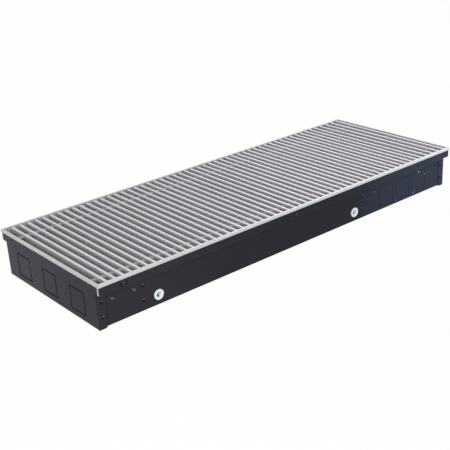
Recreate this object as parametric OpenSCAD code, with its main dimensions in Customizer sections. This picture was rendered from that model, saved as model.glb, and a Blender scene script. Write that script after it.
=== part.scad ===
// Trench convector heater for a floor duct: a folded steel trough with a finned-tube
// coil inside, closed on top by a linked aluminium grille in a mitred aluminium rim.
// X runs along the trough, the front long side faces -Y, and Z = 0 is the floor.

/* [Overall] */
// Length over the rim
frame_l = 1000; // [900:10:1200]
// Width over the rim
frame_w = 365; // [355:1:420]
// Height from the floor to the top of the rim
frame_h = 97.5; // [92:0.5:120]

/* [Rim] */
// Width of the rim's top face
rim_w = 4.4; // [4:0.1:7]
// Height of the rim's full-width head
rim_head_h = 6; // [4:0.5:8]
// Thickness of the rim's web under the head
rim_web_t = 2; // [1.5:0.1:2.4]
// Rounding of the rim's outer top edge
rim_edge_r = 0.6; // [0.2:0.1:1.2]

/* [Trough] */
// Sheet thickness of the trough
sheet_t = 1; // [0.8:0.1:1.4]
// Sheet thickness of the end plates
plate_t = 1.2; // [1:0.1:1.6]
// Rim's outer face to the long wall's outer face
wall_inset = 15.5; // [15:0.5:24]
// Rim's top down to the underside of the grille ledge
ledge_drop = 24; // [23:0.5:28]
// Outer bend radius between ledge and lip
lip_r = 2.5; // [2.5:0.5:5]
// Outer bend radius at the top and foot of the long walls
wall_r = 2.5; // [2:0.1:3.5]
// Width of the end plates' folded flanges
plate_flange = 18; // [17.5:0.5:26]
// Chamfer on the flanges' corners
flange_chamfer = 2.5; // [1:0.5:4]
// Distance that the lip runs past the trough's end
lip_tail = 0.9; // [0.2:0.1:1.2]

/* [Knock-outs] */
// Side of a square knock-out
ko_size = 48; // [36:1:52]
// Width of the slot round an end plate's knock-out
end_ko_cut = 1.8; // [0.8:0.1:2.4]
// Width of the slot round a long wall's knock-out
side_ko_cut = 1; // [0.8:0.1:2]
// Width of the tabs that hold a knock-out
ko_tab = 2.5; // [2:0.5:8]
// Number of knock-outs in an end plate
end_ko_count = 3; // [1:1:3]
// Distance between knock-outs in an end plate
end_ko_pitch = 100; // [60:1:105]
// Height of their centres above the floor
end_ko_z = 38; // [34:0.5:42]
// Number of knock-outs in a long wall
side_ko_count = 3; // [1:1:3]
// Distance between knock-outs in a long wall
side_ko_pitch = 58; // [55:1:60]
// Height of their centres above the floor
side_ko_z = 34; // [32:0.5:42]
// Rim's right end to the nearest knock-out's centre
side_ko_right = 95; // [85:1:110]

/* [Side wall fixings] */
// Height of the lower row of fixings
fix_z_low = 23; // [18:0.5:26]
// Height of the upper row of fixings
fix_z_high = 54; // [50:0.5:58]
// Rim's left end to the first and second insert
insert_left = [35.5, 83.3];
// Rim's right end to the nearer and further insert
insert_right = [36.8, 252.2];
// Rim's left end to the left coil bracket's rivets
bracket_left = 103.5; // [98:0.5:115]
// Rim's right end to the right coil bracket's rivets
bracket_right = 292; // [286:0.2:310]
// Rim's left end to the left plug
plug_left = 137.5; // [125:0.5:170]
// Rim's right end to the right plug
plug_right = 318.4; // [312:0.2:345]
// Rim's end to the end plate's flange rivets
flange_rivet_x = 12.8; // [10:0.2:14]

/* [Plugs, inserts, rivets and screws] */
// Plug flange diameter
plug_flange_d = 22; // [20:0.5:26]
// Plug flange thickness
plug_flange_t = 2.2; // [1.5:0.1:3]
// Plug barrel diameter
plug_d = 17; // [16:0.2:18]
// Depth of the plug behind its flange
plug_depth = 5.5; // [5:0.5:9]
// Diameter of the plug's recess
plug_recess_d = 11; // [8:0.5:12]
// Depth of the plug's recess
plug_recess_h = 4; // [2.5:0.5:4.5]
// Width of the slots between a plug's snap fingers
plug_slot = 2; // [1:0.2:3]
// Insert barrel diameter
insert_d = 11; // [10:0.2:12]
// Insert flange diameter
insert_flange_d = 13; // [13:0.5:15]
// Wall left round the countersink in an insert's mouth
insert_wall = 0.7; // [0.5:0.1:1.5]
// Insert length behind the wall's outer face
insert_depth = 14; // [10:0.5:15]
// Insert thread's core diameter
insert_core_d = 5; // [4.2:0.1:6.8]
// Rivet shank diameter
rivet_d = 4; // [3:0.2:4.8]
// Rivet head diameter
rivet_head_d = 8; // [6.4:0.2:9]
// Rivet head height
rivet_head_h = 1.9; // [1.4:0.1:2.2]
// Diameter of the mandrel's dimple in a rivet head
rivet_dimple_d = 1.6; // [1:0.1:2]
// Rim screw shank diameter
screw_d = 4; // [3:0.1:4.2]
// Rim screw head diameter
screw_head_d = 8; // [6:0.2:9]
// Rim screw head height
screw_head_h = 1.1; // [0.8:0.1:1.4]
// Rim's top down to the side screws
side_screw_drop = 16; // [13:0.5:17]
// Rim's top down to the end screws
end_screw_drop = 13; // [11:0.5:16]
// Side screws' distances from the rim's left end, as shares of the length
side_screw_share = [0.055, 0.49, 0.958];
// End screws' distance either side of the middle
end_screw_y = 145; // [120:1:155]

/* [Grille] */
// Distance between grille bars
bar_pitch = 18; // [14:0.5:24]
// Width of a bar
bar_w = 6; // [4:0.5:8]
// Height of a bar
bar_h = 18; // [14:0.5:20]
// Wall thickness of a bar
bar_wall = 1.2; // [0.8:0.1:1.6]
// Rounding of a bar's edges
bar_edge_r = 0.7; // [0.3:0.1:1.2]
// Gap between a bar's end and the rim
bar_end_gap = 2.1; // [1:0.1:4]
// Number of longer links at the grille's right end
end_links = 4; // [1:1:8]
// Distance between bars in the longer links
end_pitch = 20.5; // [18:0.5:24]
// Gap between the left rim and the first bar
grille_left_gap = 15.6; // [15.2:0.2:18]
// Least gap between the last bar and the right rim
grille_right_gap = 5; // [4:0.5:8]
// Rim's outer face to the front tie rod
front_rod_inset = 36.5; // [30:0.5:70]
// Rim's outer face to the back tie rod
back_rod_inset = 56.5; // [30:0.5:80]
// Bars' top down to the tie rods
rod_drop = 7; // [6:0.5:9]
// Tie rod diameter
rod_d = 4; // [3:0.5:5]
// Spacer diameter
spacer_d = 8.5; // [6.5:0.5:10]
// Thickness of the damping strips
strip_t = 4; // [2:0.5:4.5]
// Width of the damping strips
strip_w = 8; // [6:0.5:8.5]

/* [Coil] */
// Width of the fins
fin_w = 200; // [190:1:210]
// Height of the fins
fin_h = 50; // [40:1:52]
// Fin thickness
fin_t = 0.5; // [0.3:0.1:0.8]
// Distance between fins
fin_pitch = 6; // [4.5:0.5:12]
// Length of the collars that seat a fin on the tubes
collar_l = 2.4; // [1.5:0.1:3]
// Wall thickness of the collars
collar_wall = 0.4; // [0.3:0.1:0.8]
// Coil's middle in front of (-) or behind (+) the trough's middle
coil_y = 30; // [25:1:35]
// Height of the coil's middle above the floor
coil_z = 38.5; // [36:0.5:40]
// Number of tubes side by side
tube_count = 4; // [4]
// Distance between tubes
tube_pitch = 50; // [44:1:52]
// Tube's outer diameter
tube_d = 15; // [12:0.5:16]
// Tube's wall thickness
tube_wall = 0.8; // [0.6:0.1:1.2]
// Sheet thickness of the coil brackets
bracket_t = 1.5; // [1:0.1:2]
// Width of the brackets' flanges on the long walls
bracket_flange = 16; // [14:1:18]
// Height of the brackets' top edge
bracket_h = 67; // [65:0.5:69]
// Height of the brackets beside the coil
bracket_low_h = 30; // [28:1:36]

/* [Connections] */
// Bracket's right face to the tubes' open ends
stub_l = 60; // [54:1:70]
// Socket length of a connector
socket_l = 12; // [10:1:16]
// Socket's outer diameter
socket_d = 20; // [19:0.5:22]
// Width across the flats of a connector's hexagon
conn_af = 27; // [26:0.5:32]
// Length of a connector's hexagon
conn_hex_l = 26; // [24:1:30]
// Core diameter of the half-inch pipe thread
port_d = 18.6; // [18:0.1:19]
// Depth of the pipe thread
port_depth = 15; // [12:0.5:15]
// Water way through a connector
way_d = 13; // [10:0.5:13.5]
// Width across the flats of the air vent
vent_af = 13; // [12:0.5:15]
// Air vent screw's shank diameter
vent_screw_d = 5; // [4:0.2:6]
// Air vent screw's head diameter
vent_head_d = 8; // [7:0.2:9]

/* [Levelling] */
// Rim's end to the levelling screws
level_end = 52; // [50:1:56]
// Rim's outer face to the levelling screws
level_side = 50.5; // [45:0.5:56]
// Levelling screw's diameter
level_d = 8; // [6:0.5:10]
// Levelling screw's length
level_l = 45; // [35:1:50]
// Levelling nut's width across the flats
level_nut_af = 13; // [13:0.5:17]
// Levelling nut's height
level_nut_h = 6.5; // [5:0.5:8]

/* [Hidden] */

$fn = 48;

black = [0.17, 0.17, 0.19];
silver = [0.80, 0.80, 0.82];
steel = [0.62, 0.63, 0.65];
copper = [0.72, 0.43, 0.27];
brass = [0.78, 0.66, 0.38];
nylon = [0.94, 0.95, 0.97];
foam = [0.10, 0.10, 0.10];

// Clearance round a rivet, screw, rod or plug in its hole, and round a running thread
hole_fit = 0.1;
thread_fit = 0.05;
// How far a cutter reaches past the sheet that it cuts
over = 1;

// Levels and planes, worked out from the outside inwards
half_l = frame_l / 2;
half_w = frame_w / 2;
floor_z = plate_t;
floor_top = floor_z + sheet_t;
ledge_z = frame_h - ledge_drop;
ledge_top = ledge_z + sheet_t;
head_z = frame_h - rim_head_h;
web_z = ledge_z + lip_r;
wall_y = half_w - wall_inset;
wall_in = wall_y - sheet_t;
web_in = half_w - rim_w;
web_out = web_in + rim_web_t;
lip_y = web_out + sheet_t;
end_web_in = half_l - rim_w;
end_web_out = end_web_in + rim_web_t;
plate_x = end_web_out + plate_t;
bar_z = ledge_top + strip_t;
bar_top = bar_z + bar_h;

// Draws a side view, Y across and Z up, and runs it along X
module along_x(l) {
    rotate([90, 0, 90]) linear_extrude(l, center = true) children();
}

// Draws a front view, X across and Z up, from y back to y + t
module along_y(y, t) {
    translate([0, y + t, 0]) rotate([90, 0, 0]) linear_extrude(t) children();
}

// Turns what points up so that it points out of the front (-Y) long side
module out_front(x, y, z) {
    translate([x, -y, z]) rotate([90, 0, 0]) children();
}

// Turns what points up so that it points out of the left (-X) end
module out_left(x, y, z) {
    translate([-x, y, z]) rotate([0, -90, 0]) children();
}

module both_sides() {
    children();
    mirror([0, 1, 0]) children();
}

module both_ends() {
    children();
    mirror([1, 0, 0]) children();
}

// A quarter bend of sheet about the origin, towards the quadrant (qu, qv)
module bend(r, t, qu, qv) {
    intersection() {
        difference() {
            circle(r);
            if (r > t) circle(r - t);
        }
        translate([qu < 0 ? -r : 0, qv < 0 ? -r : 0]) square(r);
    }
}

// Dome of radius r and height h on the plane Z = 0
module dome(r, h) {
    ball = (r * r + h * h) / (2 * h);
    intersection() {
        translate([0, 0, h - ball]) sphere(ball);
        cylinder(r = r, h = h);
    }
}

// Hexagonal prism with two flats square to X
module hex(af, h) {
    rotate([0, 0, 30]) cylinder(d = af / cos(30), h = h, $fn = 6);
}

// Rivet with its head's seat at Z = 0 and the clamped sheets below
module rivet(grip) {
    tail_h = 0.8;
    tail_d = rivet_d + 2;
    dimple_h = 1;
    difference() {
        dome(rivet_head_d / 2, rivet_head_h);
        translate([0, 0, rivet_head_h - dimple_h]) cylinder(d = rivet_dimple_d, h = dimple_h + over);
    }
    translate([0, 0, -grip]) cylinder(d = rivet_d, h = grip);
    translate([0, 0, -grip - tail_h]) cylinder(d = tail_d, h = tail_h);
}

// Cross-slotted screw with its head's seat at Z = 0
module rim_screw(grip) {
    slot_w = 0.9;
    slot_l = 0.6 * screw_head_d;
    slot_h = 0.6 * screw_head_h;
    difference() {
        dome(screw_head_d / 2, screw_head_h);
        translate([0, 0, screw_head_h]) cube([slot_l, slot_w, 2 * slot_h], center = true);
        translate([0, 0, screw_head_h]) cube([slot_w, slot_l, 2 * slot_h], center = true);
    }
    translate([0, 0, -grip]) cylinder(d = screw_d, h = grip);
}

// Slot round a square knock-out, left whole at a tab in the middle of each side
module knock_out_slot(cut) {
    outer = ko_size + cut;
    inner = ko_size - cut;
    difference() {
        square(outer, center = true);
        square(inner, center = true);
        square([ko_tab, outer + over], center = true);
        square([outer + over, ko_tab], center = true);
    }
}

// Places along the front wall, from the rim's left or right end
function from_left(d) = d - half_l;
function from_right(d) = half_l - d;
insert_x = [for (d = insert_left) from_left(d), for (d = insert_right) from_right(d)];
plug_x = [from_left(plug_left), from_right(plug_right)];
bracket_x = [from_left(bracket_left), from_right(bracket_right)];
side_screw_x = [for (s = side_screw_share) from_left(s * frame_l)];
side_ko_x = [for (i = [0 : side_ko_count - 1]) from_right(side_ko_right + i * side_ko_pitch)];
end_ko_y = [for (i = [0 : end_ko_count - 1]) (i - (end_ko_count - 1) / 2) * end_ko_pitch];
level_x = half_l - level_end;
level_y = half_w - level_side;

side_screw_z = frame_h - side_screw_drop;
end_screw_z = frame_h - end_screw_drop;

// Half of the trough's section: floor, wall, ledge and lip, from the middle out to +Y
module trough_half_section() {
    inner_r = wall_r - sheet_t;
    wall_foot = floor_z + wall_r;
    wall_head = ledge_z - inner_r;
    translate([0, floor_z]) square([wall_y - wall_r, sheet_t]);
    translate([wall_y - wall_r, wall_foot]) bend(wall_r, sheet_t, 1, -1);
    translate([wall_in, wall_foot]) square([sheet_t, wall_head - wall_foot]);
    translate([wall_y + inner_r, wall_head]) bend(wall_r, sheet_t, -1, 1);
    translate([wall_y + inner_r, ledge_z]) square([lip_y - lip_r - wall_y - inner_r, sheet_t]);
    lip_half_section();
}

module lip_half_section() {
    translate([lip_y - lip_r, web_z]) bend(lip_r, sheet_t, 1, -1);
    translate([web_out, web_z]) square([sheet_t, head_z - web_z]);
}

// Folded tray with the stepped ledge that carries the grille and the rim
module trough() color(black) {
    tail_x = end_web_out + lip_tail;
    difference() {
        union() {
            both_sides() along_x(2 * end_web_out) trough_half_section();
            both_sides() intersection() {
                along_x(2 * tail_x) lip_half_section();
                translate([-tail_x, web_in, 0]) cube([2 * tail_x, rim_w, frame_h]);
            }
        }
        both_sides() wall_cutters();
        both_ends() both_sides() translate([level_x, level_y, floor_z - over])
            cylinder(d = level_d + 1, h = sheet_t + 2 * over);
        for (y = conn_rivet_y) translate([conn_foot_x, y, floor_z - over])
            cylinder(d = rivet_d + 2 * hole_fit, h = sheet_t + 2 * over);
    }
}

// Holes and knock-outs of the front long wall and its lip
module wall_cutters() {
    cut_l = sheet_t + 2 * over;
    wall_start = wall_in - over;
    rivet_hole = rivet_d + 2 * hole_fit;
    along_y(-wall_y - over, cut_l) for (x = side_ko_x) translate([x, side_ko_z]) knock_out_slot(side_ko_cut);
    for (x = insert_x) out_front(x, wall_start, fix_z_high)
        cylinder(d = insert_d + 2 * hole_fit, h = cut_l);
    for (x = plug_x) out_front(x, wall_start, fix_z_low)
        cylinder(d = plug_d + 2 * hole_fit, h = cut_l);
    for (z = [fix_z_low, fix_z_high]) {
        for (x = bracket_x) out_front(x, wall_start, z) cylinder(d = rivet_hole, h = cut_l);
        for (x = [-half_l + flange_rivet_x, half_l - flange_rivet_x])
            out_front(x, wall_start, z) cylinder(d = rivet_hole, h = cut_l);
    }
    for (x = side_screw_x) out_front(x, web_out - over, side_screw_z)
        cylinder(d = screw_d + 2 * hole_fit, h = cut_l);
}

// Folded flap from X = 0 to X = l, its two free corners chamfered
module chamfered_flap(l, h) {
    c = flange_chamfer;
    polygon([[0, 0], [l - c, 0], [l, c], [l, h - c], [l - c, h], [0, h]]);
}

// End plate with press-out squares, ears behind the rim and flanges round the trough
module end_plate() color(black) {
    flange_end = plate_x - plate_flange;
    flange_top = ledge_z - wall_r;
    ear_gap = 0.2;
    ear_y = web_in - ear_gap;
    foot_y = wall_y - wall_r;
    foot_l = end_web_out - flange_end;
    difference() {
        union() {
            // flat sheet and ears
            translate([-plate_x, -wall_y, plate_t]) cube([plate_t, 2 * wall_y, head_z - plate_t]);
            translate([-plate_x, -ear_y, ledge_z]) cube([plate_t, 2 * ear_y, head_z - ledge_z]);
            // side flanges, folded round the long walls
            both_sides() {
                translate([-end_web_out, wall_y, 0]) linear_extrude(flange_top) bend(plate_t, plate_t, -1, 1);
                translate([-end_web_out, 0, 0]) along_y(wall_y, plate_t) chamfered_flap(foot_l, flange_top);
                translate([-plate_x, wall_y - wall_r, 0]) cube([plate_t, wall_r, plate_t]);
            }
            // foot flange, folded under the floor
            translate([-end_web_out, -foot_y, 0]) cube([foot_l, 2 * foot_y, plate_t]);
            translate([-end_web_out, foot_y, plate_t]) rotate([90, 0, 0])
                linear_extrude(2 * foot_y) bend(plate_t, plate_t, -1, -1);
        }
        for (y = end_ko_y) translate([-plate_x + plate_t / 2, y, end_ko_z])
            along_x(plate_t + 2 * over) knock_out_slot(end_ko_cut);
        both_sides() for (z = [fix_z_low, fix_z_high])
            out_front(-half_l + flange_rivet_x, wall_y - over, z)
                cylinder(d = rivet_d + 2 * hole_fit, h = plate_t + 2 * over);
        both_sides() out_left(end_web_out - over, end_screw_y, end_screw_z)
            cylinder(d = screw_d + 2 * hole_fit, h = plate_t + 2 * over);
    }
}

module end_plate_left() end_plate();

module end_plate_right() mirror([1, 0, 0]) end_plate();

module end_plate_rivets() color(black) {
    both_ends() both_sides() for (z = [fix_z_low, fix_z_high])
        out_front(-half_l + flange_rivet_x, wall_y + plate_t, z) rivet(plate_t + sheet_t);
}

// Section of the rim's head, from its outer face inwards, with a rounded outer edge
module rim_head_section() {
    r = rim_edge_r;
    translate([r, 0]) square([rim_w - r, rim_head_h]);
    square([rim_w, rim_head_h - r]);
    translate([r, rim_head_h - r]) circle(r);
}

// Head with its ends mitred at 45 degrees, outer face on Y = 0 and running to +Y
module rim_head(l) {
    intersection() {
        along_x(l) rim_head_section();
        translate([0, 0, -over]) linear_extrude(rim_head_h + 2 * over)
            polygon([[-l / 2, 0], [l / 2, 0], [l / 2 - rim_w, rim_w], [-l / 2 + rim_w, rim_w]]);
    }
}

// Long rim, whose web runs to the very end
module rim_long() color(silver) {
    difference() {
        union() {
            translate([0, -half_w, head_z]) rim_head(frame_l);
            translate([-half_l, -web_out, web_z]) cube([frame_l, rim_web_t, head_z - web_z]);
        }
        for (x = side_screw_x) out_front(x, web_in - over, side_screw_z)
            cylinder(d = screw_d + 2 * hole_fit, h = rim_web_t + 2 * over);
    }
}

// Short rim, whose web fits between the long rims' webs
module rim_short() color(silver) {
    web_y = web_in - hole_fit;
    difference() {
        union() {
            translate([-half_l, 0, head_z]) rotate([0, 0, -90]) rim_head(frame_w);
            translate([-end_web_out, -web_y, web_z]) cube([rim_web_t, 2 * web_y, head_z - web_z]);
        }
        both_sides() out_left(end_web_in - over, end_screw_y, end_screw_z)
            cylinder(d = screw_d + 2 * hole_fit, h = rim_web_t + 2 * over);
    }
}

module rim_front() rim_long();

module rim_back() mirror([0, 1, 0]) rim_long();

module rim_left() rim_short();

module rim_right() mirror([1, 0, 0]) rim_short();

module rim_side_screws() color(black) {
    both_sides() for (x = side_screw_x) out_front(x, lip_y, side_screw_z)
        rim_screw(sheet_t + rim_web_t);
}

module rim_end_screws() color(black) {
    both_ends() both_sides() out_left(plate_x, end_screw_y, end_screw_z)
        rim_screw(plate_t + rim_web_t);
}

// Strip on the front ledge that the bars' ends rest on
module damping_strip() color(foam) {
    flat_out = min(lip_y - lip_r, web_in);
    translate([-end_web_in + hole_fit, -flat_out + hole_fit, ledge_top])
        cube([2 * (end_web_in - hole_fit), strip_w, strip_t]);
}

module damping_strip_front() damping_strip();

module damping_strip_back() mirror([0, 1, 0]) damping_strip();

// Bars of the grille: an even run from the left, then the longer links up to the right rim
first_bar_x = -end_web_in + grille_left_gap + bar_w / 2;
even_run = end_web_in - grille_right_gap - bar_w / 2 - end_links * end_pitch - first_bar_x;
even_gaps = floor(even_run / bar_pitch);
even_end_x = first_bar_x + even_gaps * bar_pitch;
bar_x = [
    for (i = [0 : even_gaps]) first_bar_x + i * bar_pitch,
    for (i = [1 : end_links]) even_end_x + i * end_pitch
];
bar_l = 2 * (web_in - bar_end_gap);
rod_y = [front_rod_inset - half_w, half_w - back_rod_inset];
rod_z = bar_top - rod_drop;
spacer_l = bar_pitch - bar_w;
rod_nut_h = 3;
rod_nut_d = spacer_d + 1;
grille_left_x = first_bar_x - bar_w / 2;
grille_right_x = bar_x[len(bar_x) - 1] + bar_w / 2;
rod_start_x = grille_left_x - spacer_l - rod_nut_h;
rod_l = grille_right_x + rod_nut_h - rod_start_x;

module rounded_section(w, h, r) {
    translate([-w / 2, r]) square([w, h - 2 * r]);
    translate([-w / 2 + r, 0]) square([w - 2 * r, h]);
    for (u = [-w / 2 + r, w / 2 - r], v = [r, h - r]) translate([u, v]) circle(r);
}

module grille_bar() {
    difference() {
        translate([0, bar_l / 2, 0]) rotate([90, 0, 0]) linear_extrude(bar_l) difference() {
            rounded_section(bar_w, bar_h, bar_edge_r);
            translate([-bar_w / 2 + bar_wall, bar_wall])
                square([bar_w - 2 * bar_wall, bar_h - 2 * bar_wall]);
        }
        for (y = rod_y) translate([0, y, bar_h - rod_drop]) rotate([0, 90, 0])
            cylinder(d = rod_d + 2 * hole_fit, h = bar_w + over, center = true);
    }
}

module grille_bars() color(silver) {
    for (x = bar_x) translate([x, 0, bar_z]) grille_bar();
}

module grille_rods() color(steel) {
    for (y = rod_y) translate([rod_start_x, y, rod_z]) rotate([0, 90, 0])
        cylinder(d = rod_d, h = rod_l);
}

module tube(d, bore, l) {
    difference() {
        cylinder(d = d, h = l);
        translate([0, 0, -over]) cylinder(d = bore, h = l + 2 * over);
    }
}

// Sleeve on both rods, from x to x + l
module rod_sleeve(x, l) {
    for (y = rod_y) translate([x, y, rod_z]) rotate([0, 90, 0]) tube(spacer_d, rod_d + 2 * hole_fit, l);
}

// One sleeve in front of the first bar and one in each gap between bars
module grille_spacers() color(silver) {
    rod_sleeve(grille_left_x - spacer_l, spacer_l);
    for (i = [0 : len(bar_x) - 2]) rod_sleeve(bar_x[i] + bar_w / 2, bar_x[i + 1] - bar_x[i] - bar_w);
}

module grille_rod_nuts() color(steel) {
    for (x = [rod_start_x, grille_right_x], y = rod_y)
        translate([x, y, rod_z]) rotate([0, 90, 0]) tube(rod_nut_d, rod_d + 2 * thread_fit, rod_nut_h);
}

// The coil hangs between two brackets; the fins fill the space between their plates
bracket_edge = (bracket_flange + bracket_t) / 2;
left_plate_x = bracket_x[0] + bracket_edge;
right_plate_x = bracket_x[1] - bracket_edge;
fin_space = 4;
fin_run = right_plate_x - left_plate_x - 2 * fin_space - fin_t;
fin_count = floor(fin_run / fin_pitch) + 1;
fin_mid = (left_plate_x + right_plate_x) / 2;
tube_y = [for (i = [0 : tube_count - 1]) coil_y + (i - (tube_count - 1) / 2) * tube_pitch];
tube_fit = 0.2;
bell_l = 8;
bell_wall = 0.9;
bell_gap = 2;
left_tube_x = left_plate_x - bell_l - bell_gap;
right_tube_x = right_plate_x + bell_l + bell_gap;
stub_x = right_plate_x + stub_l;

// One fin, its sheet from X = 0 to X = fin_t and its drawn collars on the +X side
module fin() {
    bore = tube_d + 2 * thread_fit;
    difference() {
        union() {
            translate([0, coil_y - fin_w / 2, coil_z - fin_h / 2]) cube([fin_t, fin_w, fin_h]);
            for (y = tube_y) translate([0, y, coil_z]) rotate([0, 90, 0])
                cylinder(d = bore + 2 * collar_wall, h = fin_t + collar_l);
        }
        for (y = tube_y) translate([-over, y, coil_z]) rotate([0, 90, 0])
            cylinder(d = bore, h = fin_t + collar_l + 2 * over);
    }
}

module coil_fins() color(silver) {
    for (i = [0 : fin_count - 1])
        translate([fin_mid + (i - (fin_count - 1) / 2) * fin_pitch - fin_t / 2, 0, 0]) fin();
}

// The outer tubes run on to the connectors, the inner ones end in the right return bend
module coil_tubes() color(copper) {
    for (i = [0 : tube_count - 1]) {
        outer = i == 0 || i == tube_count - 1;
        end_x = outer ? stub_x : right_tube_x;
        translate([left_tube_x, tube_y[i], coil_z]) rotate([0, 90, 0])
            tube(tube_d, tube_d - 2 * tube_wall, end_x - left_tube_x);
    }
}

// Half-round bend that opens towards +X, with a belled socket round each tube's end
module return_bend() color(copper) {
    rotate([0, 0, 90]) rotate_extrude(angle = 180) translate([tube_pitch / 2, 0]) difference() {
        circle(d = tube_d);
        circle(d = tube_d - 2 * tube_wall);
    }
    both_sides() translate([0, tube_pitch / 2, 0]) {
        rotate([0, 90, 0]) tube(tube_d + 2 * bell_wall, tube_d + 2 * thread_fit, bell_l);
        rotate([0, -90, 0]) tube(tube_d + 2 * bell_wall, tube_d - tube_wall, bell_wall);
    }
}

module return_bends_left() {
    for (i = [0 : 2 : tube_count - 1])
        translate([left_tube_x, (tube_y[i] + tube_y[i + 1]) / 2, coil_z]) return_bend();
}

module return_bend_right() {
    for (i = [1 : 2 : tube_count - 2])
        translate([right_tube_x, (tube_y[i] + tube_y[i + 1]) / 2, coil_z])
            mirror([1, 0, 0]) return_bend();
}

// Bracket across the trough, cut low beside the coil so that cold air can fall.
// The plate's face towards the fins is at x = 0 and the flanges run to -X.
module coil_bracket() color(steel) {
    foot_gap = 0.3;
    foot_z = floor_top + wall_r + foot_gap;
    cheek = 18;
    shoulder = 8;
    flange_z = fix_z_low - 9;
    flange_h = fix_z_high + 8 - flange_z;
    side = wall_in - foot_gap;
    coil_front = coil_y - fin_w / 2 - shoulder;
    difference() {
        union() {
            translate([-bracket_t / 2, 0, 0]) along_x(bracket_t) polygon([
                [-side, foot_z], [side, foot_z], [side, flange_z + flange_h],
                [side - cheek, bracket_h], [coil_front, bracket_h],
                [coil_front - cheek, bracket_low_h], [-side + 2 * cheek, bracket_low_h],
                [-side + cheek, flange_z + flange_h], [-side, flange_z + flange_h]
            ]);
            both_sides() translate([-bracket_flange, side - bracket_t, flange_z])
                cube([bracket_flange, bracket_t, flange_h]);
        }
        for (y = tube_y) translate([-bracket_t - over, y, coil_z]) rotate([0, 90, 0])
            cylinder(d = tube_d + 2 * tube_fit, h = bracket_t + 2 * over);
        both_sides() for (z = [fix_z_low, fix_z_high])
            out_front(-bracket_edge, side - bracket_t - over, z)
                cylinder(d = rivet_d + 2 * hole_fit, h = bracket_t + 2 * over);
    }
}

module coil_bracket_left() translate([left_plate_x, 0, 0]) coil_bracket();

module coil_bracket_right() translate([right_plate_x, 0, 0]) mirror([1, 0, 0]) coil_bracket();

module bracket_rivets() color(black) {
    wall_gap = 0.3;
    both_sides() for (x = bracket_x, z = [fix_z_low, fix_z_high])
        out_front(x, wall_y, z) rivet(sheet_t + wall_gap + bracket_t);
}

// Connectors: a socket over the tube, then a hexagon with a female pipe thread
conn_x = stub_x - socket_l;
conn_hex_x = conn_x + socket_l + 4;
conn_end_x = conn_hex_x + conn_hex_l;
vent_x = conn_hex_x + 5.5;
vent_seat_z = coil_z + conn_af / 2;
vent_spigot_d = 8;
vent_spigot_h = 5;

module connector(y) {
    translate([conn_x, y, coil_z]) rotate([0, 90, 0]) difference() {
        union() {
            cylinder(d = socket_d, h = conn_hex_x - conn_x);
            translate([0, 0, conn_hex_x - conn_x]) hex(conn_af, conn_hex_l);
        }
        translate([0, 0, -over]) cylinder(d = tube_d + 2 * thread_fit, h = socket_l + over);
        cylinder(d = way_d, h = conn_end_x - conn_x);
        translate([0, 0, conn_end_x - conn_x - port_depth]) cylinder(d = port_d, h = port_depth + over);
    }
}

module supply_connector() color(brass) {
    difference() {
        connector(tube_y[0]);
        translate([vent_x, tube_y[0], vent_seat_z - vent_spigot_h])
            cylinder(d = vent_spigot_d + 2 * thread_fit, h = vent_spigot_h + over);
    }
}

module return_connector() color(brass) connector(tube_y[tube_count - 1]);

// Sheet angle that holds both connectors against turning
conn_plate_t = 1.5;
conn_foot_l = 20;
conn_foot_x = conn_hex_x + conn_foot_l / 2;
conn_rivet_y = [for (s = [-1, 1]) coil_y + s * tube_pitch * 0.8];

module connection_bracket() color(steel) {
    margin = 12;
    y0 = tube_y[0] - socket_d / 2 - margin;
    y1 = tube_y[tube_count - 1] + socket_d / 2 + margin;
    top = vent_seat_z - 1;
    difference() {
        union() {
            translate([conn_hex_x - conn_plate_t, y0, floor_top])
                cube([conn_plate_t, y1 - y0, top - floor_top]);
            translate([conn_hex_x - conn_plate_t, y0, floor_top]) cube([conn_foot_l, y1 - y0, conn_plate_t]);
        }
        for (y = [tube_y[0], tube_y[tube_count - 1]])
            translate([conn_hex_x - conn_plate_t - over, y, coil_z]) rotate([0, 90, 0])
                cylinder(d = socket_d + 2 * tube_fit, h = conn_plate_t + 2 * over);
        for (y = conn_rivet_y) translate([conn_foot_x, y, floor_top - over])
            cylinder(d = rivet_d + 2 * hole_fit, h = conn_plate_t + 2 * over);
    }
}

module connection_bracket_rivets() color(steel) {
    for (y = conn_rivet_y) translate([conn_foot_x, y, floor_top + conn_plate_t])
        rivet(conn_plate_t + sheet_t);
}

// Manual air vent on the supply connector
vent_hex_h = 6;
vent_neck_h = 4;
vent_neck_d = 10.5;
vent_outlet_d = 1.8;
vent_top_z = vent_seat_z + vent_hex_h + vent_neck_h;
vent_screw_l = 8;

module air_vent_body() color(brass) {
    translate([vent_x, tube_y[0], vent_seat_z]) difference() {
        union() {
            translate([0, 0, -vent_spigot_h]) cylinder(d = vent_spigot_d, h = vent_spigot_h + vent_hex_h);
            hex(vent_af, vent_hex_h);
            cylinder(d = vent_neck_d, h = vent_hex_h + vent_neck_h);
        }
        translate([0, 0, vent_hex_h + vent_neck_h - vent_screw_l - 0.5])
            cylinder(d = vent_screw_d + 2 * thread_fit, h = vent_screw_l + over);
        translate([0, 0, vent_hex_h + vent_neck_h / 2]) rotate([0, 90, 0])
            cylinder(d = vent_outlet_d, h = vent_neck_d);
    }
}

module air_vent_screw() color(brass) {
    seat = 0.2;
    head_h = 3;
    slot_w = 1.2;
    slot_h = 1.4;
    translate([vent_x, tube_y[0], vent_top_z]) {
        translate([0, 0, seat - vent_screw_l]) cylinder(d = vent_screw_d, h = vent_screw_l);
        difference() {
            translate([0, 0, seat]) cylinder(d = vent_head_d, h = head_h);
            translate([-vent_head_d, -slot_w / 2, seat + head_h - slot_h])
                cube([2 * vent_head_d, slot_w, slot_h + over]);
        }
    }
}

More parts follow.
